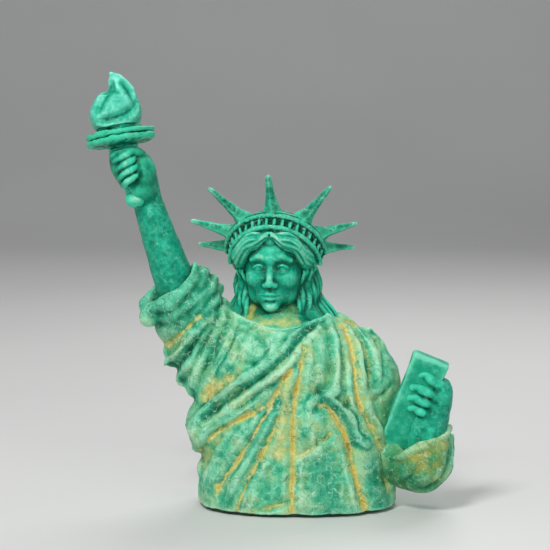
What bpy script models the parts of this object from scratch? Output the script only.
"""Souvenir statue bust in painted cast resin, about 196 mm tall.

A robed figure with a rayed diadem raises a torch in one hand and holds a tablet
on the other arm.  Every casting is its own object.  Castings plug together with
tenons, pegs and steel dowels, and touching pieces keep a glue gap.

X runs to the figure's left hand, -Y is the front and Z is up.  The origin is the
middle of the footprint, on the surface that the bust stands on.  Lengths below are
millimetres, and to_metres() turns the finished objects into metres.
"""

import math

import bmesh
import bpy
from mathutils import Matrix, Vector

MM = 0.001
GAP = 0.3  # glue gap between neighbouring pieces
ORGANIC_GAP = 0.4  # the same between two freely shaped castings

# Foot of the bust
BASE_HALF_WIDTH = 45.3
BASE_HALF_DEPTH = 32.5
OVAL_POWER = 2.4
FELT_THICKNESS = 1.2
FELT_INSET = 3.0
CASTING_FOOT = FELT_THICKNESS + GAP

# Head and neck
HEAD_CENTRE = Vector((-10.0, -2.0, 110.0))
HEAD_YAW = math.radians(-8.0)
HEAD_HEIGHT = 39.0
NECK_RADIUS = 9.5
NECK_TENON_RADIUS = 6.5
NECK_TENON_LENGTH = 13.0
NECK_FOOT = Vector((-9.0, 1.5, 86.0))
COLLAR_CENTRE = Vector((-7.0, -3.5, 103.0))
COLLAR_RADII = Vector((29.0, 23.5, 21.0))
COLLAR_TILT = math.radians(14.0)

# Crown: a diadem tipped back, with seven rays in its plane
CROWN_CENTRE = Vector((-9.5, 0.0, 117.0))
CROWN_TIP_BACK = math.radians(51.0)
DIADEM_INNER_RADIUS = 20.0
DIADEM_OUTER_RADIUS = 22.6
DIADEM_FRONT = -10.0
DIADEM_BACK = 6.0
DIADEM_END = math.radians(105.0)
DIADEM_STEPS = 48
WINDOW_COUNT = 21
WINDOW_PITCH = math.radians(9.5)
RAY_PLANE = 1.5
RAY_BASE_RADIUS = 4.6
RAY_PEG_RADIUS = 1.4
RAY_TIPS = {1: (-89.0, 36.0), 2: (-66.0, 41.0), 3: (-37.5, 45.5), 4: (0.0, 44.0),
            5: (37.0, 46.5), 6: (67.0, 41.5), 7: (89.0, 36.0)}

# Raised arm and torch
ARM_ROOT = Vector((-51.5, -1.0, 84.0))
WRIST = Vector((-69.6, -3.5, 138.5))
ARM_ROOT_RADIUS = 9.3
WRIST_RADIUS = 7.6
FIST_CENTRE = Vector((-75.2, -4.5, 152.0))
CUFF_CENTRE = Vector((-57.0, -2.0, 97.5))
CUFF_AXIS = Vector((-0.62, -0.28, 0.73))
CUFF_RADIUS = 12.5
CUFF_ROLL = 6.2
TORCH_FOOT = Vector((-72.3, -9.0, 139.5))
TORCH_TOP = Vector((-79.2, -5.0, 168.0))
HANDLE_RADIUS = 4.0
GALLERY_RADIUS = 15.2
RAIL_TOP = 4.4
FLAME_SEAT = RAIL_TOP + GAP
FLAME_HEIGHT = 24.5
SPIGOT_RADIUS = 2.4
SPIGOT_TOP = 9.0

# Tablet arm
TABLET_CENTRE = Vector((53.4, -16.0, 47.5))
TABLET_SIZE = Vector((16.8, 8.0, 43.5))
TABLET_EDGE = 0.9
TABLET_LEAN = math.radians(20.5)
TABLET_NOD = math.radians(6.0)
DOWEL_RADIUS = 1.5

RESIN = (0.06, 0.34, 0.22, 1.0)
RESIN_SKIN = (0.04, 0.36, 0.24, 1.0)
RESIN_PALE = (0.16, 0.52, 0.38, 1.0)
FELT = (0.02, 0.05, 0.03, 1.0)
STEEL = (0.6, 0.6, 0.62, 1.0)


# ---------------------------------------------------------------- scene helpers

def clear_scene():
    for obj in list(bpy.data.objects):
        bpy.data.objects.remove(obj, do_unlink=True)


def new_collection(name):
    collection = bpy.data.collections.new(name)
    bpy.context.scene.collection.children.link(collection)
    return collection


def material(name, colour, roughness, metallic=0.0):
    mat = bpy.data.materials.new(name)
    mat.use_nodes = True
    shader = mat.node_tree.nodes["Principled BSDF"]
    shader.inputs["Base Color"].default_value = colour
    shader.inputs["Roughness"].default_value = roughness
    shader.inputs["Metallic"].default_value = metallic
    return mat


def frame_on(origin, up):
    """Matrix with its origin at a point and its Z along a direction."""
    return Matrix.Translation(origin) @ up.normalized().to_track_quat("Z", "Y").to_matrix().to_4x4()


def object_from_bmesh(name, bm, collection, placing=None):
    mesh = bpy.data.meshes.new(name)
    bmesh.ops.recalc_face_normals(bm, faces=bm.faces)
    bm.to_mesh(mesh)
    bm.free()
    obj = bpy.data.objects.new(name, mesh)
    collection.objects.link(obj)
    if placing is not None:
        obj.matrix_world = placing
    return obj


def bake(obj):
    """Apply every modifier of an object."""
    graph = bpy.context.evaluated_depsgraph_get()
    graph.update()
    mesh = bpy.data.meshes.new_from_object(obj.evaluated_get(graph))
    obj.modifiers.clear()
    obj.data = mesh
    return obj


def hang_on(obj, parent):
    """Parent an object and keep where it stands."""
    bpy.context.view_layer.update()
    placed = obj.matrix_world.copy()
    obj.parent = parent
    obj.matrix_local = parent.matrix_world.inverted() @ placed


def empty(name, placing, collection):
    obj = bpy.data.objects.new(name, None)
    collection.objects.link(obj)
    obj.matrix_world = placing
    bpy.context.view_layer.update()
    return obj


def finish(obj, mat, angle=40.0):
    obj.data.materials.clear()
    obj.data.materials.append(mat)
    obj.data.shade_smooth()
    obj.data.set_sharp_from_angle(angle=math.radians(angle))
    return obj


def to_metres(collections):
    """Scale every mesh and location once, from millimetres to metres."""
    for collection in collections:
        for obj in collection.objects:
            if obj.type == "MESH":
                obj.data.transform(Matrix.Scale(MM, 4))
            obj.location = obj.location * MM
            obj.matrix_parent_inverse.identity()


# ---------------------------------------------------------------- shape helpers

def ball(bm, centre, radii, turn=None, segments=32):
    placing = Matrix.Translation(centre) @ (turn or Matrix.Identity(4)) @ Matrix.Diagonal((*radii, 1.0))
    bmesh.ops.create_uvsphere(bm, u_segments=segments, v_segments=segments // 2, radius=1.0, matrix=placing)


def limb(bm, start, end, start_radius, end_radius, segments=28):
    """A tapered round limb with a ball at both ends."""
    start, end = Vector(start), Vector(end)
    placing = frame_on((start + end) / 2.0, end - start)
    bmesh.ops.create_cone(bm, cap_ends=True, segments=segments, radius1=start_radius, radius2=end_radius,
                          depth=(end - start).length, matrix=placing)
    ball(bm, start, (start_radius,) * 3)
    ball(bm, end, (end_radius,) * 3)


def chain(bm, points):
    """Limbs through points given as (x, y, z, radius)."""
    for first, second in zip(points, points[1:]):
        limb(bm, first[:3], second[:3], first[3], second[3], segments=20)


def sculpt(obj, voxel, smoothing, triangles):
    """Fuse an object's overlapping lumps into one skin of about that many triangles."""
    remesh = obj.modifiers.new("fuse", "REMESH")
    remesh.mode = "VOXEL"
    remesh.voxel_size = voxel
    smooth = obj.modifiers.new("soften", "SMOOTH")
    smooth.factor = 0.5
    smooth.iterations = smoothing
    obj.modifiers.new("triangles", "TRIANGULATE")
    bake(obj)
    thin = obj.modifiers.new("thin", "DECIMATE")
    thin.ratio = min(1.0, triangles / len(obj.data.polygons))
    return bake(obj)


def combine(obj, tool, operation="DIFFERENCE"):
    boolean = obj.modifiers.new(operation.lower(), "BOOLEAN")
    boolean.operation = operation
    boolean.solver = "EXACT"
    boolean.object = tool
    return bake(obj)


class Cutters:
    """Makes wire-display tools in one collection."""

    def __init__(self, collection):
        self.collection = collection

    def keep(self, obj):
        obj.hide_render = True
        obj.display_type = "WIRE"
        return obj

    def cylinder(self, name, start, end, radius, end_radius=None, segments=32):
        start, end = Vector(start), Vector(end)
        bm = bmesh.new()
        bmesh.ops.create_cone(bm, cap_ends=True, segments=segments, radius1=radius,
                              radius2=radius if end_radius is None else end_radius,
                              depth=(end - start).length)
        placing = frame_on((start + end) / 2.0, end - start)
        return self.keep(object_from_bmesh(name, bm, self.collection, placing))

    def box(self, name, size, placing):
        bm = bmesh.new()
        bmesh.ops.create_cube(bm, size=1.0, matrix=Matrix.Diagonal((*size, 1.0)))
        return self.keep(object_from_bmesh(name, bm, self.collection, placing))

    def lump(self, name, centre, radii, turn=None):
        bm = bmesh.new()
        ball(bm, centre, radii, turn, segments=24)
        return self.keep(object_from_bmesh(name, bm, self.collection))

    def grown(self, obj, gap=ORGANIC_GAP):
        """A copy of a finished piece, thicker by the gap all round."""
        copy = obj.copy()
        copy.data = obj.data.copy()
        copy.name = obj.name + "_room"
        self.collection.objects.link(copy)
        push = copy.modifiers.new("grow", "DISPLACE")
        push.mid_level = 0.0
        push.strength = gap
        bake(copy)
        return self.keep(copy)


def turned(name, profile, collection, placing, steps=36, closed=False):
    """Turn a profile of (radius, height) points, outer side first, about local Z."""
    bm = bmesh.new()
    verts = [bm.verts.new((radius, 0.0, height)) for radius, height in profile]
    for first, second in zip(verts, verts[1:]):
        bm.edges.new((first, second))
    if closed:
        bm.edges.new((verts[-1], verts[0]))
    mesh = bpy.data.meshes.new(name)
    bm.to_mesh(mesh)
    bm.free()
    obj = bpy.data.objects.new(name, mesh)
    collection.objects.link(obj)
    obj.matrix_world = placing
    screw = obj.modifiers.new("turn", "SCREW")
    screw.steps = steps
    screw.render_steps = steps
    screw.use_merge_vertices = True
    screw.merge_threshold = 0.0001
    return bake(obj)


def dowel(name, start, end, collection):
    """A round steel pin with chamfered ends."""
    start, end = Vector(start), Vector(end)
    half = (end - start).length / 2.0
    chamfer = 0.4
    profile = [(0.0, half), (DOWEL_RADIUS - chamfer, half), (DOWEL_RADIUS, half - chamfer),
               (DOWEL_RADIUS, chamfer - half), (DOWEL_RADIUS - chamfer, -half), (0.0, -half)]
    return turned(name, profile, collection, frame_on((start + end) / 2.0, end - start), steps=16)


def drill(pieces, cutters, name, start, end):
    """Sink one hole for a dowel into each piece, a little past the pin's ends."""
    start, end = Vector(start), Vector(end)
    over = (end - start).normalized() * GAP
    hole = cutters.cylinder(name, start - over, end + over, DOWEL_RADIUS + GAP, segments=16)
    for piece in pieces:
        combine(piece, hole)


# ---------------------------------------------------------------- frames

def head_frame():
    return Matrix.Translation(HEAD_CENTRE) @ Matrix.Rotation(HEAD_YAW, 4, "Z")


def crown_frame():
    """Local -Y points to the middle ray, local Z is the ring's axis."""
    tip = Matrix.Rotation(HEAD_YAW, 4, "Z") @ Matrix.Rotation(-CROWN_TIP_BACK, 4, "X")
    return Matrix.Translation(CROWN_CENTRE) @ tip


def torch_frame():
    return frame_on(TORCH_TOP, TORCH_TOP - TORCH_FOOT)


def tablet_frame():
    turn = Matrix.Rotation(TABLET_LEAN, 4, "Y") @ Matrix.Rotation(TABLET_NOD, 4, "X")
    return Matrix.Translation(TABLET_CENTRE) @ turn


# ---------------------------------------------------------------- pieces

def oval(half_width, half_depth, height, centre=(0.0, 0.0), segments=64):
    """Points of a level superellipse."""
    points = []
    for step in range(segments):
        angle = 2.0 * math.pi * step / segments
        c, s = math.cos(angle), math.sin(angle)
        radius = (abs(c) ** OVAL_POWER + abs(s) ** OVAL_POWER) ** (-1.0 / OVAL_POWER)
        x = centre[0] + half_width * radius * c
        y = centre[1] + half_depth * radius * s
        points.append(Vector((x, y, height)))
    return points


def prism(bm, levels):
    """A closed solid through outlines of the same point count, bottom first."""
    rings = [[bm.verts.new(point) for point in outline] for outline in levels]
    bm.faces.new(list(reversed(rings[0])))
    bm.faces.new(rings[-1])
    for low, high in zip(rings, rings[1:]):
        for index in range(len(low)):
            after = (index + 1) % len(low)
            bm.faces.new((low[index], low[after], high[after], high[index]))


def make_felt_pad(parts):
    bm = bmesh.new()
    width, depth = BASE_HALF_WIDTH - FELT_INSET, BASE_HALF_DEPTH - FELT_INSET
    prism(bm, [oval(width, depth, height, segments=48) for height in (0.0, FELT_THICKNESS)])
    return object_from_bmesh("felt_pad", bm, parts)


def cuff_ring(steps=16):
    """Points round the rolled cuff of the raised sleeve, with the roll's own radius."""
    cuff = frame_on(CUFF_CENTRE, CUFF_AXIS)
    points = []
    for step in range(steps + 1):
        angle = 2.0 * math.pi * step / steps
        point = cuff @ Vector((CUFF_RADIUS * math.cos(angle), CUFF_RADIUS * math.sin(angle), 0.0))
        points.append((*point, CUFF_ROLL))
    return points


def make_robe_body(parts, cutters):
    """Skirt, chest, shoulders, raised sleeve with its rolled cuff, and the tablet arm."""
    bm = bmesh.new()
    levels = (
        (-8.0, BASE_HALF_WIDTH, BASE_HALF_DEPTH, 0.0, 0.0), (10.0, 45.0, 32.0, 0.3, 0.0),
        (28.0, 43.4, 30.5, 0.5, 0.0), (45.0, 41.8, 29.0, 0.0, -0.5), (60.0, 40.0, 27.5, -1.0, -1.0),
        (72.0, 36.5, 24.5, -3.0, -1.0), (82.0, 29.5, 20.5, -6.0, 0.0), (90.0, 19.0, 15.0, -8.0, 1.0),
    )
    prism(bm, [oval(width, depth, height, (x, y)) for height, width, depth, x, y in levels])
    ball(bm, (-6.0, -8.5, 65.0), (27.0, 21.0, 22.0))
    limb(bm, (14.5, 2.0, 74.0), (31.0, 0.0, 57.0), 15.0, 15.5)
    limb(bm, (31.0, 0.0, 57.0), (33.5, -3.0, 26.0), 15.5, 14.5)
    limb(bm, (-31.0, 2.0, 76.5), (-52.0, -1.0, 89.0), 15.5, 13.0)
    limb(bm, (-54.0, 0.0, 83.0), (-37.0, 0.0, 58.0), 12.0, 13.0)
    ball(bm, (-40.5, -3.0, 37.0), (11.0, 17.0, 14.0))
    chain(bm, cuff_ring())
    robe = sculpt(object_from_bmesh("robe_body", bm, parts), voxel=1.6, smoothing=8, triangles=2700)
    combine(robe, cutters.box("foot_plane", (200.0, 200.0, 60.0),
                              Matrix.Translation((0.0, 0.0, CASTING_FOOT - 30.0))))
    return robe


def collar_dish(cutters, name, grow):
    """The hollow in the robe's neckline that neck and hair sit in, deeper at the front."""
    turn = Matrix.Rotation(COLLAR_TILT, 4, "X")
    return cutters.lump(name, COLLAR_CENTRE, COLLAR_RADII + Vector((grow, grow, grow)), turn)


def collar_bed(cutters):
    """All that lies below the dish, which trims the foot of the head."""
    bed = cutters.box("collar_bed", (120.0, 120.0, 40.0), Matrix.Translation((COLLAR_CENTRE.x, 0.0, 74.0)))
    return combine(bed, collar_dish(cutters, "collar_bed_dish", 0.0))


def make_head(parts, cutters):
    """Skull, face, parted hair and neck, with a tenon below."""
    bm = bmesh.new()
    frame = head_frame()
    half = HEAD_HEIGHT / 2.0

    def lump(centre, radii):
        ball(bm, frame @ Vector(centre), radii, Matrix.Rotation(HEAD_YAW, 4, "Z"))

    lump((0.0, 2.5, 3.0), (15.2, 17.0, 16.0))
    lump((0.0, -5.0, -4.5), (12.6, 12.5, 14.8))
    lump((0.0, -11.5, 3 - half), (5.2, 4.2, 3.4))
    lump((0.0, -16.8, -7.0), (1.9, 2.6, 2.4))
    limb(bm, frame @ Vector((0.0, -16.6, 0.5)), frame @ Vector((0.0, -18.0, -6.0)), 1.3, 1.7)
    lump((0.0, -15.4, -12.6), (3.6, 2.0, 1.5))
    for side in (-1.0, 1.0):
        lump((side * 5.4, -14.2, 1.5), (4.6, 3.0, 1.8))
        lump((side * 9.0, -10.0, 9.5), (8.6, 8.5, 6.0))
        lump((side * 15.2, -1.0, 3.0), (5.0, 10.0, 8.5))
        lump((side * 15.0, 2.5, -6.0), (4.6, 8.0, 8.0))
        limb(bm, frame @ Vector((side * 14.0, 3.0, -6.0)), frame @ Vector((side * 18.0, 1.5, -18.0)), 5.5, 5.6)
        lump((side * 11.5, 5.0, -12.0), (7.0, 9.0, 11.0))
    lump((0.0, 14.0, -2.0), (13.0, 9.0, 12.0))
    limb(bm, frame @ Vector((0.0, 10.0, -6.0)), frame @ Vector((2.0, 9.0, -20.0)), 13.0, 12.0)
    limb(bm, frame @ Vector((0.0, 0.0, -8.0)), NECK_FOOT, NECK_RADIUS, NECK_RADIUS + 0.8)
    head = sculpt(object_from_bmesh("head", bm, parts), voxel=1.0, smoothing=3, triangles=2000)
    tenon_foot = NECK_FOOT - Vector((0.0, 0.0, NECK_TENON_LENGTH))
    combine(head, collar_bed(cutters))
    combine(head, cutters.cylinder("neck_tenon", tenon_foot, NECK_FOOT, NECK_TENON_RADIUS), "UNION")
    socket = cutters.cylinder("neck_socket", tenon_foot - Vector((0.0, 0.0, GAP)),
                              NECK_FOOT + Vector((0.0, 0.0, 30.0)), NECK_TENON_RADIUS + GAP)
    return head, socket


def diadem_profile(grow=0.0):
    """Window band, proud moulding and the seat for the rays, as radius and height."""
    inner = DIADEM_INNER_RADIUS - grow
    outer = DIADEM_OUTER_RADIUS
    return [
        (inner, DIADEM_BACK + grow), (outer + 0.4 + grow, DIADEM_BACK + grow),
        (outer + 0.4 + grow, -1.0), (outer + 1.3 + grow, -1.6), (outer + 1.3 + grow, -3.2),
        (outer + grow, -3.8), (outer + grow, -8.6), (outer + 0.6 + grow, -9.0),
        (outer + 0.6 + grow, DIADEM_FRONT - grow), (inner, DIADEM_FRONT - grow),
    ]


def diadem_opening(cutters, name, open_angle):
    """A wedge that leaves the ring covering only the front and sides of the head."""
    reach = 60.0
    c, s = math.cos(math.pi - open_angle), math.sin(math.pi - open_angle)
    fan = [Vector((0.0, 0.0, 0.0)), Vector((-s, c, 0.0)) * reach, Vector((0.0, 1.6, 0.0)) * reach,
           Vector((s, c, 0.0)) * reach]
    bm = bmesh.new()
    prism(bm, [[point + Vector((0.0, 0.0, height)) for point in fan] for height in (-30.0, 30.0)])
    return cutters.keep(object_from_bmesh(name, bm, cutters.collection, crown_frame()))


def make_diadem(parts, cutters):
    """A tipped ring, open behind the head, with a row of little windows round its front."""
    frame = crown_frame()
    diadem = turned("diadem", diadem_profile(), parts, frame, steps=DIADEM_STEPS, closed=True)
    combine(diadem, diadem_opening(cutters, "diadem_opening", DIADEM_END))
    windows = bmesh.new()
    size = Matrix.Diagonal((1.9, 3.0, 3.6, 1.0))
    for index in range(WINDOW_COUNT):
        angle = (index - (WINDOW_COUNT - 1) / 2.0) * WINDOW_PITCH
        place = Matrix.Rotation(angle, 4, "Z") @ Matrix.Translation((0.0, -DIADEM_OUTER_RADIUS - 0.5, -6.2))
        bmesh.ops.create_cube(windows, size=1.0, matrix=place @ size)
    tool = cutters.keep(object_from_bmesh("diadem_windows", windows, cutters.collection, frame))
    combine(diadem, tool)
    room = turned("diadem_room", diadem_profile(ORGANIC_GAP), cutters.collection, frame, steps=DIADEM_STEPS,
                  closed=True)
    combine(room, diadem_opening(cutters, "diadem_room_opening", DIADEM_END + math.radians(1.5)))
    return diadem, cutters.keep(room)


def ray_frame(degrees):
    """Local Z runs out along one ray, from the crown's centre."""
    turn = Matrix.Rotation(math.radians(degrees), 4, "Z") @ Matrix.Rotation(math.radians(90.0), 4, "X")
    return crown_frame() @ Matrix.Translation((0.0, 0.0, RAY_PLANE)) @ turn


def make_ray(index, degrees, tip, parts, cutters, diadem_room):
    """A thorn with a flared foot that fits the ring's profile, a blunt tip and a peg."""
    frame = ray_frame(degrees)
    foot = DIADEM_OUTER_RADIUS - 0.6
    length = tip - foot
    spread = [(0.0, 1.0), (0.14, 0.8), (0.35, 0.6), (0.7, 0.42), (0.94, 0.29), (1.0, 0.12)]
    outside = [(RAY_BASE_RADIUS * width, foot + length * along) for along, width in spread]
    ray = turned(f"crown_ray_{index}", [(0.0, tip)] + outside[::-1] + [(0.0, foot)], parts, frame, steps=12)
    combine(ray, diadem_room)
    peg = cutters.cylinder(f"ray_peg_{index}", frame @ Vector((0.0, 0.0, DIADEM_INNER_RADIUS + 0.2)),
                           frame @ Vector((0.0, 0.0, foot + 5.0)), RAY_PEG_RADIUS, segments=12)
    return combine(ray, peg, "UNION")


def drill_ray_sockets(diadem, cutters):
    for index, (degrees, _tip) in RAY_TIPS.items():
        frame = ray_frame(degrees)
        start = frame @ Vector((0.0, 0.0, DIADEM_INNER_RADIUS - 1.0))
        end = frame @ Vector((0.0, 0.0, DIADEM_OUTER_RADIUS + 3.0))
        combine(diadem, cutters.cylinder(f"ray_socket_{index}", start, end, RAY_PEG_RADIUS + GAP, segments=12))


def make_right_arm(parts, cutters):
    """Forearm, wrist and a fist closed round the torch, with a tapering root in the sleeve."""
    bm = bmesh.new()
    axis = (WRIST - ARM_ROOT).normalized()
    limb(bm, ARM_ROOT, WRIST, ARM_ROOT_RADIUS, WRIST_RADIUS)
    torch_up = (TORCH_TOP - TORCH_FOOT).normalized()
    grip = Matrix.Rotation(math.atan2(torch_up.x, torch_up.z), 4, "Y")
    limb(bm, WRIST, FIST_CENTRE + Vector((2.5, 2.0, -3.0)), WRIST_RADIUS, 8.0)
    ball(bm, FIST_CENTRE + Vector((1.5, 1.5, 0.5)), (8.6, 7.6, 10.0), grip)
    for row in range(4):
        rise = 7.6 - 4.6 * row
        middle = FIST_CENTRE + torch_up * rise
        chain(bm, [
            (middle.x + 7.4, middle.y + 0.5, middle.z + 2.6, 2.7),
            (middle.x + 4.6, middle.y - 7.2, middle.z + 1.6, 2.7),
            (middle.x - 3.0, middle.y - 9.8, middle.z + 0.2, 2.6),
            (middle.x - 8.4, middle.y - 6.0, middle.z - 0.8, 2.4),
            (middle.x - 8.8, middle.y - 0.6, middle.z - 0.6, 2.3),
        ])
    thumb = FIST_CENTRE + torch_up * 10.0
    chain(bm, [(thumb.x + 2.0, thumb.y + 3.0, thumb.z - 6.0, 3.2),
               (thumb.x - 5.0, thumb.y + 1.0, thumb.z - 2.0, 2.8),
               (thumb.x - 8.2, thumb.y - 3.2, thumb.z - 0.4, 2.3)])
    arm = sculpt(object_from_bmesh("right_arm", bm, parts), voxel=0.8, smoothing=2, triangles=1500)
    bore = cutters.cylinder("torch_bore", TORCH_FOOT - torch_up * 12.0, TORCH_TOP + torch_up * 6.0,
                            HANDLE_RADIUS + GAP)
    combine(arm, bore)
    over_fist = cutters.cylinder("gallery_room", TORCH_TOP - torch_up * 6.9, TORCH_TOP + torch_up * 12.0, 20.0)
    combine(arm, over_fist)
    return arm, axis


def make_torch(parts, cutters):
    """Handle, dished gallery, upper rail and flame on one long spigot."""
    frame = torch_frame()
    length = (TORCH_TOP - TORCH_FOOT).length
    r = HANDLE_RADIUS
    handle = turned("torch_handle", [
        (0.0, SPIGOT_TOP), (SPIGOT_RADIUS, SPIGOT_TOP), (SPIGOT_RADIUS, -5.0), (r + 1.0, -5.0), (r + 1.0, -5.6),
        (r, -6.4), (r * 0.92, 6.0 - length), (r * 0.8, 4.4 - length), (r, 3.0 - length),
        (r, 0.6 - length), (r * 0.72, -0.8 - length), (0.0, -1.2 - length),
    ], parts, frame, steps=20)
    bore = SPIGOT_RADIUS + GAP
    rim = GALLERY_RADIUS
    gallery = turned("torch_gallery", [
        (bore, -0.3), (rim - 0.5, -0.3), (rim, -0.8), (rim, -1.9), (rim - 1.2, -2.7),
        (rim * 0.66, -3.9), (5.6, -4.7), (bore, -4.7),
    ], parts, frame, steps=30, closed=True)
    rail = turned("gallery_rail", [
        (bore, RAIL_TOP), (9.0, RAIL_TOP), (9.8, 3.4), (rim - 2.2, 2.4), (rim - 0.2, 2.1),
        (rim + 0.2, 1.3), (rim - 0.3, 0.5), (rim - 1.4, 0.0), (bore, 0.0),
    ], parts, frame, steps=30, closed=True)
    bm = bmesh.new()
    for centre, radii in (((0.0, 0.0, 12.0), (11.6, 10.6, 7.6)), ((0.2, 0.0, 9.0), (10.6, 9.8, 6.0)),
                          ((1.2, 0.0, 16.5), (8.8, 8.0, 6.6))):
        ball(bm, Vector(centre), radii)
    chain(bm, [(1.2, 0.0, 18.0, 6.4), (1.0, 0.0, 22.5, 4.4), (-0.4, 0.0, 26.0, 2.6),
               (-1.2, 0.0, FLAME_SEAT + FLAME_HEIGHT - 1.0, 1.1)])
    flame = sculpt(object_from_bmesh("torch_flame", bm, parts, frame), voxel=0.7, smoothing=5, triangles=560)
    seat = cutters.cylinder("flame_seat", frame @ Vector((0, 0, -6.0)),
                            frame @ Vector((0, 0, FLAME_SEAT)), 20.0)
    combine(flame, seat)
    combine(flame, cutters.cylinder("flame_socket", frame @ Vector((0, 0, 0)),
                                    frame @ Vector((0, 0, SPIGOT_TOP + GAP)), bore, segments=24))
    return handle, gallery, rail, flame


def make_tablet(parts):
    bm = bmesh.new()
    bmesh.ops.create_cube(bm, size=1.0, matrix=Matrix.Diagonal((*TABLET_SIZE, 1.0)))
    tablet = object_from_bmesh("tablet", bm, parts, tablet_frame())
    edge = tablet.modifiers.new("worn_edges", "BEVEL")
    edge.width = TABLET_EDGE
    edge.segments = 3
    return bake(tablet)


def make_left_sleeve(parts, cutters):
    """The deep bag of cloth that hangs round the tablet hand."""
    bm = bmesh.new()
    ball(bm, (56.8, -11.0, 20.4), (14.2, 16.5, 14.6))
    ball(bm, (61.5, -6.0, 27.5), (9.4, 13.0, 10.5))
    limb(bm, (43.0, -6.0, 24.0), (53.0, -9.0, 21.0), 13.0, 13.5)
    sleeve = sculpt(object_from_bmesh("left_sleeve", bm, parts), voxel=1.2, smoothing=5, triangles=650)
    mouth = Matrix.Rotation(math.radians(26.0), 4, "Y")
    combine(sleeve, cutters.lump("sleeve_mouth", (55.5, -17.5, 38.0), (13.0, 12.5, 15.5), mouth))
    return sleeve


def make_left_hand(parts, cutters):
    """Palm at the tablet's outer edge, four fingers across its face, wrist in the sleeve."""
    bm = bmesh.new()
    ball(bm, (65.0, -15.5, 47.0), (5.4, 8.0, 11.0), Matrix.Rotation(math.radians(8.0), 4, "Y"))
    limb(bm, (63.0, -15.0, 40.0), (59.5, -11.5, 17.0), 6.0, 6.2)
    fingers = (((68.4, 55.5), (56.0, 60.8)), ((67.4, 50.2), (52.4, 55.2)),
               ((65.4, 45.6), (51.0, 50.6)), ((63.0, 41.6), (51.0, 46.2)))
    for (knuckle_x, knuckle_z), (tip_x, tip_z) in fingers:
        chain(bm, [(knuckle_x, -17.5, knuckle_z, 2.6), (knuckle_x - 3.5, -22.0, knuckle_z + 1.6, 2.4),
                   (tip_x, -22.2, tip_z, 1.9)])
    chain(bm, [(66.0, -10.0, 48.0, 3.0), (61.5, -8.6, 55.0, 2.6), (57.0, -8.8, 58.0, 2.3)])
    return sculpt(object_from_bmesh("left_hand", bm, parts), voxel=0.7, smoothing=2, triangles=1000)


# ---------------------------------------------------------------- assembly

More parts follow.
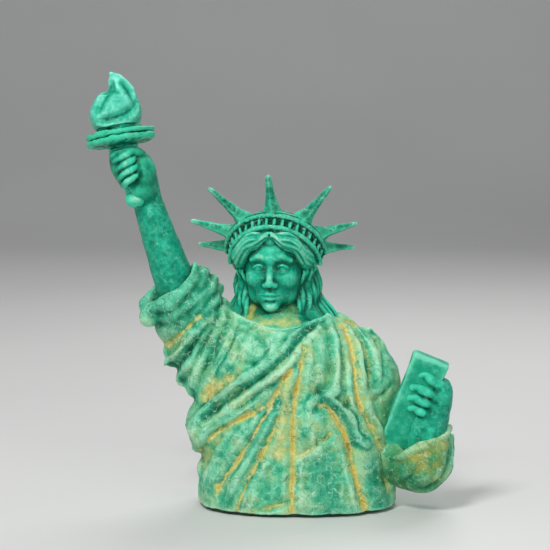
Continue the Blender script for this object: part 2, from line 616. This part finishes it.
def build():
    clear_scene()
    parts = new_collection("statue_bust")
    tools = new_collection("cutters")
    cutters = Cutters(tools)

    robe_paint = material("robe_paint", RESIN_PALE, 0.6)
    sleeve_paint = material("sleeve_paint", RESIN_PALE, 0.6)
    head_paint = material("head_paint", RESIN_SKIN, 0.45)
    arm_paint = material("arm_paint", RESIN_SKIN, 0.45)
    hand_paint = material("hand_paint", RESIN_SKIN, 0.45)
    tablet_paint = material("tablet_paint", RESIN, 0.45)
    crown_paint = material("crown_paint", RESIN, 0.45)
    torch_paint = material("torch_paint", RESIN_SKIN, 0.45)
    flame_paint = material("flame_paint", RESIN_PALE, 0.4)
    felt = material("felt", FELT, 0.95)
    steel = material("dowel_steel", STEEL, 0.35, 1.0)

    pad = make_felt_pad(parts)
    robe = make_robe_body(parts, cutters)
    head, neck_socket = make_head(parts, cutters)
    diadem, diadem_room = make_diadem(parts, cutters)
    arm, arm_axis = make_right_arm(parts, cutters)
    handle, gallery, rail, flame = make_torch(parts, cutters)
    tablet = make_tablet(parts)
    sleeve = make_left_sleeve(parts, cutters)
    hand = make_left_hand(parts, cutters)

    # The head sits in the collar, and the diadem in a groove round the hair.
    combine(head, diadem_room)
    combine(robe, collar_dish(cutters, "collar_dish", GAP))
    combine(robe, neck_socket)
    neck_pin = (NECK_FOOT - Vector((0, 0, 20.0)), NECK_FOOT - Vector((0, 0, 2.0)))
    drill((robe, head), cutters, "neck_dowel_hole", *neck_pin)
    neck_dowel = dowel("neck_dowel", *neck_pin, parts)

    # The forearm stands in the rolled cuff, which opens wide round it.
    cuff_mouth = cutters.cylinder("cuff_mouth", ARM_ROOT + arm_axis * 9.0,
                                  ARM_ROOT + arm_axis * 26.0, 8.8, 13.8)
    arm_foot = ARM_ROOT - arm_axis * ARM_ROOT_RADIUS
    combine(robe, cutters.cylinder("arm_socket", arm_foot - arm_axis * GAP, ARM_ROOT + arm_axis * 20.0,
                                   ARM_ROOT_RADIUS + GAP))
    combine(robe, cuff_mouth)
    arm_pin = (arm_foot - arm_axis * 7.0, arm_foot + arm_axis * 9.0)
    drill((robe, arm), cutters, "arm_dowel_hole", *arm_pin)
    arm_dowel = dowel("arm_dowel", *arm_pin, parts)

    # The tablet leans on the upper arm.  Hand and sleeve are shaped round it.
    tablet_room = cutters.grown(tablet)
    combine(hand, tablet_room)
    hand_room = cutters.grown(hand)
    combine(sleeve, tablet_room)
    combine(sleeve, hand_room)
    combine(robe, tablet_room)
    combine(robe, hand_room)
    combine(robe, cutters.grown(sleeve))
    sleeve_pin = (Vector((26.0, -3.0, 24.0)), Vector((42.0, -5.5, 22.0)))
    drill((robe, sleeve), cutters, "sleeve_dowel_hole", *sleeve_pin)
    sleeve_dowel = dowel("sleeve_dowel", *sleeve_pin, parts)

    rays = [make_ray(index, *RAY_TIPS[index], parts, cutters, diadem_room) for index in RAY_TIPS]
    drill_ray_sockets(diadem, cutters)

    for obj, mat in ((pad, felt), (robe, robe_paint), (sleeve, sleeve_paint), (head, head_paint),
                     (arm, arm_paint), (hand, hand_paint), (tablet, tablet_paint), (diadem, crown_paint),
                     (handle, torch_paint), (gallery, torch_paint), (rail, torch_paint), (flame, flame_paint),
                     (neck_dowel, steel), (arm_dowel, steel), (sleeve_dowel, steel)):
        finish(obj, mat)
    for ray in rays:
        finish(ray, crown_paint)

    crown = empty("crown_plane", crown_frame(), parts)
    for obj in [diadem] + rays:
        hang_on(obj, crown)
    torch = empty("torch_axis", torch_frame(), parts)
    for obj in (handle, gallery, rail, flame):
        hang_on(obj, torch)
    to_metres((parts, tools))


build()
